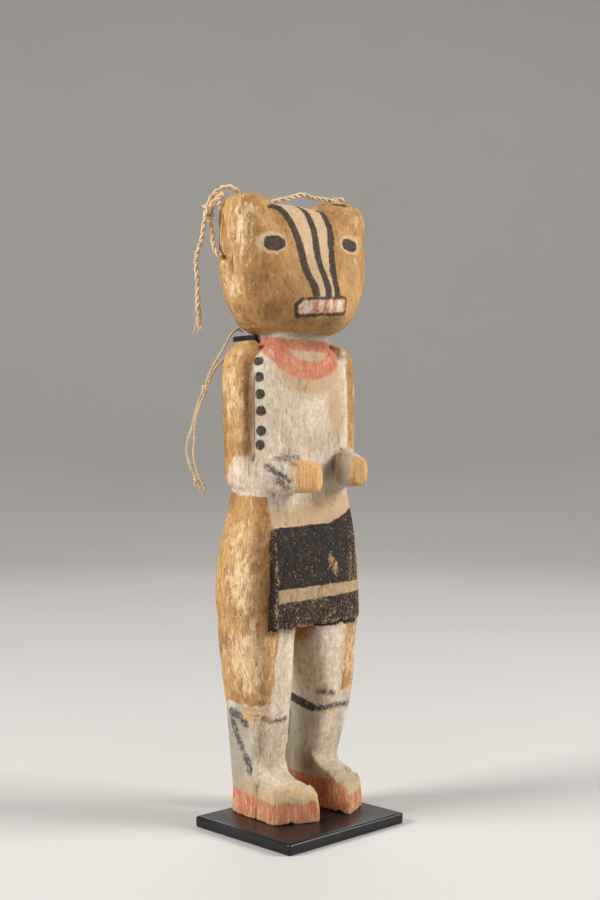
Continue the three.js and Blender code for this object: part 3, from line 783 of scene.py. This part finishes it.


# Where handling has worn the paint thin, with the lit sides of the head, arms, hips and legs made
# paler as a painted highlight: centre, radii, strength.
RUBBED_AND_LIT = (
    ((-28, -4, 208), (5, 7, 12), 1.0), ((-28, 2, 188), (5, 6, 6), 0.9),
    ((22, -11, 213), (7, 6, 8), 0.6), ((27, -6, 190), (5, 8, 12), 0.6),
    ((-26, 3, 151), (3, 6, 24), 0.9), ((26.5, 3, 146), (3, 8, 24), 0.7),
    ((-27, -3, 100), (5, 8, 9), 0.9), ((-28, -5, 84), (4, 7, 14), 1.25),
    ((-26, -5, 57), (8, 10, 14), 1.4), ((21, -9, 56), (8, 7, 14), 0.9),
    ((0, 12, 140), (22, 5, 26), 0.7), ((10, 12, 70), (22, 5, 24), 0.8),
    ((0, 13, 196), (24, 6, 16), 0.7),
    ((-14, -15, 122), (4, 5, 5), 0.9), ((-27, -6, 118), (6, 10, 6), 0.5),
    ((0, -16, 73), (26, 4, 6), 0.9), ((18, -15, 86), (5, 5, 14), 1.1),
    ((4.6, -15, 91.4), (1, 4, 2.2), 4), ((6.6, -15, 88.2), (1.2, 4, 2.6), 4),
)
# Painted shade under the head, on the face, in the arm's seam and elbow, beside the kilt, under the
# forearms,
# between the legs and feet and in the ear's slit, with some real grime on the belly: centre, radii,
# strength.
SHADE_AND_GRIME = (
    ((3, -16, 176), (15, 8, 4.4), 1), ((-7, -17, 192), (11, 6, 12), 0.34),
    ((-24, -10, 192), (6, 7, 10), 0.22), ((-20, -12, 178), (9, 6, 4), 0.6),
    ((-23.6, -9.6, 84), (3.4, 3.4, 20), 1.2), ((-25.2, -1.9, 131.4), (2.4, 2.4, 3.6), 1.1),
    ((-22.8, -3.4, 143), (1.7, 2.2, 16), 1), ((3, -10, 133.4), (11, 5, 3.6), 0.4),
    ((-27, 1.3, 197.4), (4, 0.9, 5), 1.2), ((2, -10, 170.6), (17, 8, 3.8), 0.95),
    ((-9, -14, 146), (9, 6, 13), 0.22), ((-20.5, -10, 118), (3, 6, 5), 0.3),
    ((8.4, 0, 15), (2, 4.4, 3.4), 0.7), ((8, -9, 9), (3, 9, 6), 0.5),
    ((9, -16, 122), (3.4, 8, 6), 0.75), ((0, 10, 171), (16, 6, 3), 0.8),
    ((0, -5, 60), (5, 9, 14), 0.3),
)


# ---------------------------------------------------------------- knife work and wear


NECK_RINGS = (168, 166.7, 165.6)
KNEE_NOTCHES = (38.8, 37, 35.4)


def knife_work(p, normals):
    """The heights of broad waves, knife facets, the wood's grain and small pits."""
    upright = 1 - np.abs(normals[:, 2])
    waves = 0.22 * noise(p, (10, 10, 16), 1) + 0.13 * noise(p, (4.5, 4.5, 9), 2)
    facets = (
        0.12 - 0.34 * np.abs(noise(p, (8, 8, 20), 3))
        + 0.05 - 0.16 * np.abs(noise(p, (4, 4, 8), 4)))
    grain = 0.07 * noise(p, (1.5, 1.5, 20), 5) + 0.05 * noise(p, (2.6, 2.6, 40), 6)
    pits = -0.3 * step_between(noise(p, (1.9, 1.9, 3.2), 7), 0.5, 0.75)
    return waves + facets + grain * upright + pits


def groove(distance, depth, full=0.1, none=0.7):
    """How deep a cut goes: its whole depth nearer than full, and nothing beyond none."""
    return depth * step_between(-distance, -none, -full)


def cuts(p):
    """The depth of the arm's seam, the neck's rings, the foot's split, the notches and a slit."""
    x, y, z = p.T
    seam = both(np.hypot(x + 22.3, y + 4.5), 127 - z, z - 164)
    depth = groove(seam, 1.0, none=1.1)
    for height in NECK_RINGS:
        ring = both(np.abs(z - height + 0.02 * x), np.abs(x - 4) - 9, y)
        depth += groove(ring, 0.3)
    split = both(np.abs(y + 2.3 + 0.05 * z), x + 17, z - 12)
    depth += groove(split, 0.9)
    for height in KNEE_NOTCHES:
        notch = both(np.abs(z - height), np.abs(y + 3.7) - 3, x + 17)
        depth += groove(notch, 0.45, full=0)
    slit = both(ellipse(y, z, (1.3, 197.4), (0.8, 5)), x + 18)
    return depth + groove(slit, 1.0, full=-0.3, none=0.5)


def carve(surface):
    """Cuts the marks of the knife, the grain and old damage into the surface."""
    p = surface.points
    calm = step_between(p[:, 2], 10, 22) * 0.6 + 0.4
    surface.push(calm * knife_work(p, surface.normals()) - cuts(p))

    # The kilt's hem is chipped.
    _, y, z = surface.points.T
    hem = step_between(-y, 9, 12) * step_between(-z, -70.6, -68.4)
    chips = step_between(noise(p, (2.2, 2.2, 6), 8), -0.1, 0.5)
    surface.points[:, 2] += 0.9 * hem * chips


def edge_feel(surface):
    """How far each point stands proud of its surroundings: above 0 on edges, below in creases."""
    wide = surface.smoothed(surface.points, ROUND_OFF)
    return np.einsum("ij,ij->i", surface.points - wide, surface.normals())


def add_figure(material):
    surface = figure_surface()
    p, normals = surface.points, surface.normals()
    fields = {
        **face_fields(p), **red_paint(p, normals), **white_clay(p), **kilt_fields(p),
        **stray_marks(p), **bare_wood(p),
        # The first field holds real wear and painted highlights, the second painted shade and some
        # grime.
        "rubbed_and_lit": blobs(p, RUBBED_AND_LIT), "shade_and_grime": blobs(p, SHADE_AND_GRIME),
    }
    carve(surface)
    fields["proud"] = np.clip(edge_feel(surface), -1, 1)
    vertices = (surface.points + DOLL_ORIGIN) * MM
    piece = add_piece("carved_figure", vertices, surface.faces, material)
    for name, values in fields.items():
        attribute = piece.data.attributes.new(name, "FLOAT", "POINT")
        attribute.data.foreach_set("value", np.clip(values, -6, 6).astype(np.float32))
    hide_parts("figure")


# ---------------------------------------------------------------- painted wood


class PaintedWood(Shader):
    """Bare root wood under ochre, white, red and black earth paints, all of them worn, with painted
    shade and painted highlights.
    """

    def __init__(self):
        super().__init__("painted_wood")
        self.ragged = self.blotch((1.0, 1.0, 1.5), detail=5, roughness=0.65, seed=1)
        self.streak = self.blotch((0.7, 0.7, 16), detail=4, roughness=0.6, seed=2)
        self.scuff = self.blotch((2, 2, 4.4), detail=7, roughness=0.72, seed=3)
        self.patch = self.blotch((11, 11, 18), detail=4, roughness=0.6, seed=4)
        self.speck = self.blotch((0.5, 0.5, 0.7), detail=3, roughness=0.7, seed=5)
        self.mottle = self.blotch((1.4, 1.4, 2.2), detail=5, roughness=0.75, seed=6)
        self.proud = self.field("proud")
        self.edge = self.rise(self.proud, 0.05, 0.5)
        self.wear = self.total(
            (self.scuff, 1), (self.edge, 0.14),
            (self.centred(self.speck), 0.35), (self.centred(self.streak), 0.3))
        # The worn places add painted highlights on the lit sides as well as real wear.
        self.rubbed_and_lit = self.math("ADD", self.wear, self.times(self.field("rubbed_and_lit"), 0.2))
        self.colour = None

    def times(self, value, factor):
        return self.math("MULTIPLY", value, factor)

    def centred(self, value):
        """A noise moved from 0 to 1 down to -0.5 to 0.5."""
        return self.math("SUBTRACT", value, 0.5)

    def total(self, *terms):
        """The sum of some (value, weight) pairs."""
        value = 0.0
        for term, weight in terms:
            value = self.math("ADD", value, self.times(term, weight))
        return value

    def area(self, name, soft, wander):
        """1 inside a painted area, with a ragged brushed edge."""
        shift = self.times(self.centred(self.ragged), wander)
        return self.rise(self.math("ADD", self.field(name), shift), -soft, soft, 1, 0)

    def left_of(self, share, rub, low, high, amount):
        """The share of a paint that is left where rub has taken up to amount of it."""
        return self.times(share, self.rise(rub, low, high, 1, 1 - amount))

    def tones(self, noise, low, high, first, second):
        """The first colour where the noise is below low, and the second above high."""
        return self.mix(self.rise(noise, low, high), linear(*first), linear(*second))

    def tinted(self, paint, share, tint):
        return self.mix(share, paint, linear(*tint))

    def coat(self, share, paint):
        """Lays a share of a paint over all that is there."""
        self.colour = self.mix(share, self.colour, paint)

    def ochre(self):
        """Ochre over a pale ground."""
        ochre = self.tones(self.patch, 0.38, 0.62, (150, 107, 60), (196, 152, 98))
        ochre = self.tinted(ochre, self.rise(self.mottle, 0.42, 0.72, 0, 0.5), (206, 166, 114))
        ochre = self.tinted(ochre, self.rise(self.mottle, 0.28, 0.46, 0.4, 0), (134, 92, 52))
        self.colour = self.tones(self.mottle, 0.35, 0.65, (240, 219, 182), (216, 184, 138))
        self.coat(self.left_of(1.0, self.rubbed_and_lit, 0.57, 0.78, 0.8), ochre)

    def clay(self):
        """White clay over the ochre, stained, dingy and dusty in places."""
        clay = self.tones(self.mottle, 0.35, 0.65, (224, 212, 195), (198, 180, 157))
        clay = self.tinted(clay, self.rise(self.patch, 0.45, 0.65, 0, 0.5), (196, 176, 150))
        stained = self.rise(self.field("stain"), -3.5, 1.5, 0.85, 0)
        clay = self.tinted(clay, stained, (184, 156, 122))
        dingy = self.rise(self.field("dingy"), -4, 2, 0.75, 0)
        clay = self.tinted(clay, dingy, (150, 143, 127))
        dusty = self.rise(self.field("dusty"), -2.5, 2.5, 0.85, 0)
        clay = self.tinted(clay, dusty, (184, 164, 134))
        self.coat(self.left_of(self.area("white", 0.6, 1.8), self.rubbed_and_lit, 0.57, 0.7, 0.8), clay)

    def red(self):
        """Red ochre, with the wood's grain showing through it on the shoes."""
        red = self.tones(self.patch, 0.35, 0.65, (182, 100, 78), (206, 130, 102))
        red = self.tinted(red, self.rise(self.mottle, 0.45, 0.7, 0, 0.5), (218, 156, 128))
        self.coat(self.left_of(self.area("red", 0.5, 1.6), self.wear, 0.52, 0.68, 0.85), red)
        grain = self.total((self.streak, 0.4), (self.scuff, 0.8), (self.edge, 0.12))
        worn = self.rise(self.field("worn_red"), -0.4, 0.4, 1, 0)
        grain = self.times(worn, self.rise(grain, 0.58, 0.72))
        self.coat(self.times(grain, 0.85), linear(214, 174, 124))

    def face(self):
        """Cream between the outer stripes, and pale rings round the eyes."""
        cream = self.tones(self.speck, 0.4, 0.7, (220, 194, 160), (196, 164, 128))
        self.coat(self.times(self.area("pale", 0.3, 0.8), 0.92), cream)
        thin = self.rise(self.scuff, 0.4, 0.62, 0.9, 0.35)
        self.coat(self.times(self.area("rings", 0.45, 1.6), thin), linear(212, 188, 150))

    def kilt(self):
        """A black kilt with a plain band, worn to the wood on its edges."""
        kilt = self.area("kilt", 0.2, 1.0)
        under = self.tones(self.mottle, 0.4, 0.6, (196, 158, 114), (128, 98, 70))
        self.coat(kilt, under)
        cloth = self.tones(self.mottle, 0.35, 0.65, (27, 25, 25), (52, 45, 41))
        # Its wear takes in the same painted highlights on the lit sides.
        wear = self.total(
            (self.speck, 0.8), (self.edge, 0.13),
            (self.centred(self.scuff), 0.5), (self.field("rubbed_and_lit"), 0.075))
        self.coat(self.left_of(kilt, wear, 0.48, 0.56, 0.9), cloth)
        band = self.tones(self.mottle, 0.35, 0.65, (190, 166, 130), (156, 132, 100))
        self.coat(self.times(self.area("kilt_band", 0.25, 0.9), 0.95), band)

    def marks(self):
        """Black stripes, eyes, lips, spots and smudges, and the teeth between the lips."""
        black = self.tones(self.speck, 0.42, 0.66, (32, 30, 30), (84, 77, 70))
        self.coat(self.times(self.area("black", 0.25, 1.3), 0.95), black)
        thin = self.rise(self.mottle, 0.5, 0.68, 0.97, 0.65)
        self.coat(self.times(self.area("marks", 0.25, 1.0), thin), black)
        thin = self.rise(self.mottle, 0.48, 0.62, 0.92, 0.12)
        self.coat(self.times(self.area("smudges", 0.7, 3.4), thin), linear(60, 60, 67))
        gum = self.tones(self.mottle, 0.4, 0.6, (184, 104, 74), (216, 168, 136))
        self.coat(self.area("gums", 0.2, 0.5), gum)
        thin = self.rise(self.streak, 0.4, 0.62, 0.95, 0.45)
        self.coat(self.times(self.area("teeth", 0.8, 3.5), thin), linear(232, 222, 208))

    def bare(self):
        """Bare wood where there is no paint."""
        wood = self.tones(self.streak, 0.36, 0.64, (196, 148, 92), (220, 178, 120))
        wood = self.tinted(wood, self.rise(self.scuff, 0.5, 0.7, 0, 0.6), (226, 190, 136))
        self.coat(self.area("bare", 1.1, 4.4), wood)

    def darkening(self):
        """Painted shade in the creases, and painted shade with some real grime in the listed
        places.
        """
        crease_shade = self.rise(self.proud, -0.5, -0.1, 0.8, 0)
        darkening = self.math("MAXIMUM", crease_shade, self.times(self.field("shade_and_grime"), 0.78))
        self.coat(self.times(darkening, self.rise(self.mottle, 0.3, 0.7, 1, 0.75)), linear(72, 48, 30))

    def cracks(self):
        """Thin cracks along the grain and small dark specks; returns the cracks' share."""
        line = self.math("ABSOLUTE", self.centred(self.blotch((1.3, 1.3, 11), detail=3, seed=8)))
        crack = self.times(self.rise(line, 0.004, 0.014, 0.55, 0), self.rise(self.patch, 0.45, 0.6))
        self.coat(crack, linear(84, 58, 40))
        self.coat(self.rise(self.speck, 0.66, 0.76, 0, 0.4), linear(104, 74, 50))
        return crack

    def build(self):
        """The finished material, with its paints laid on from the ground up."""
        # The last of these layers is painted shade, with some real grime.
        for layer in (
            self.ochre, self.clay, self.red, self.face, self.kilt, self.marks, self.bare, self.darkening
        ):
            layer()
        crack = self.cracks()
        height = self.total(
            (self.streak, 0.3), (self.speck, 0.6), (self.mottle, 1.5), (crack, -1.2))
        self.bump(height, 0.25 * MM, 0.9)
        roughness = self.rise(self.ragged, 0.3, 0.7, 0.7, 0.92)
        return self.finish(self.colour, roughness, specular=0.25)


# ---------------------------------------------------------------- the steel stand


def black_steel():
    """Satin black lacquer on steel, with a faint texture and some dust."""
    shader = Shader("black_steel")
    texture = shader.blotch((0.35, 0.35, 0.35), detail=3)
    dust = shader.blotch((0.9, 0.9, 0.9), detail=6, roughness=0.7, seed=2)
    cloud = shader.blotch((14, 14, 14), detail=3, seed=6)
    colour = shader.mix(shader.rise(cloud, 0.35, 0.65), linear(20, 20, 22), linear(30, 30, 32))
    colour = shader.mix(shader.rise(dust, 0.64, 0.76, 0, 0.3), colour, linear(110, 108, 106))
    shader.bump(texture, 0.03 * MM, 0.6)
    roughness = shader.rise(cloud, 0.3, 0.7, 0.26, 0.38)
    return shader.finish(colour, roughness, specular=0.35)


TRAY_VOXEL = 0.45
ROUND_FOLDS = (0.5,) * 8


def dress_stand():
    """Gives the rod and the fork their lacquer, and the tray round folds as well."""
    steel = black_steel()
    for name in ("stand_rod", "neck_fork"):
        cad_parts[name].data.materials.clear()
        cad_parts[name].data.materials.append(steel)

    tray = Surface(*fine_copy("stand_tray", TRAY_VOXEL))
    tray.points = tray.smoothed(tray.points, ROUND_FOLDS)
    piece = add_piece("folded_tray", (tray.points + DOLL_ORIGIN) * MM, tray.faces, steel)
    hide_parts("stand_tray")


# ---------------------------------------------------------------- studio


def pale_backdrop():
    shader = Shader("backdrop")
    shade = shader.blotch((180, 180, 180), detail=2)
    colour = shader.mix(shade, linear(200, 198, 195), linear(206, 204, 202))
    return shader.finish(colour, 0.9, specular=0.1)


FLAT_RADIUS = 1.1
CURVE_RADIUS = 0.7
WALL_TOP = 1.6
CURVE_STEPS = 8
FLOOR_SIDES = 72


def add_floor():
    """A round pale floor that curves up into a wall, in metres."""
    profile = [(0, 0), (FLAT_RADIUS * 0.5, 0), (FLAT_RADIUS, 0)]
    for k in range(1, CURVE_STEPS + 1):
        angle = k * math.pi / (2 * CURVE_STEPS)
        outward = FLAT_RADIUS + CURVE_RADIUS * math.sin(angle)
        profile.append((outward, CURVE_RADIUS * (1 - math.cos(angle))))
    profile.append((FLAT_RADIUS + CURVE_RADIUS, WALL_TOP))
    turns = [2 * math.pi * k / FLOOR_SIDES for k in range(FLOOR_SIDES)]
    vertices = [
        (r * math.cos(turn), r * math.sin(turn), height)
        for r, height in profile for turn in turns
    ]
    faces = []
    for ring in range(len(profile) - 1):
        for k in range(FLOOR_SIDES):
            a = ring * FLOOR_SIDES + k
            b = ring * FLOOR_SIDES + (k + 1) % FLOOR_SIDES
            faces.append((a, b, b + FLOOR_SIDES, a + FLOOR_SIDES))
    mesh = bpy.data.meshes.new("floor")
    mesh.from_pydata(vertices, [], faces)
    mesh.polygons.foreach_set("use_smooth", [True] * len(mesh.polygons))
    mesh.materials.append(pale_backdrop())
    floor = bpy.data.objects.new("floor", mesh)
    bpy.context.collection.objects.link(floor)


AIM = (0, 0, 0.12)
LIGHTS = (
    # name, place in metres, size, watts, tint
    ("left", (-0.93, 0.37, 0.68), 0.45, 15, (1, 0.98, 0.95)),
    ("right", (0.62, -0.78, 0.62), 0.45, 13.2, (1, 0.98, 0.95)),
    ("over", (-0.4, -0.5, 1.1), 0.7, 0.8, (1, 1, 1)),
    ("behind", (0.7, 0.75, 0.8), 0.6, 3, (1, 1, 1)),
)
WORLD_STRENGTH = 0.06


def add_lights():
    """Soft lamps from both sides, above and behind, in a dim pale world."""
    for name, place, size, watts, tint in LIGHTS:
        data = bpy.data.lights.new(name, "AREA")
        data.size = size
        data.energy = watts
        data.color = tint
        light = bpy.data.objects.new(name, data)
        light.location = place
        light.rotation_euler = (Vector(AIM) - Vector(place)).to_track_quat("-Z", "Y").to_euler()
        bpy.context.collection.objects.link(light)

    world = bpy.data.worlds.new("world")
    world.use_nodes = True
    background = world.node_tree.nodes["Background"]
    background.inputs["Color"].default_value = (1, 1, 1, 1)
    background.inputs["Strength"].default_value = WORLD_STRENGTH
    bpy.context.scene.world = world
    bpy.context.scene.view_settings.view_transform = "Standard"


add_figure(PaintedWood().build())
dress_stand()
add_floor()
add_lights()
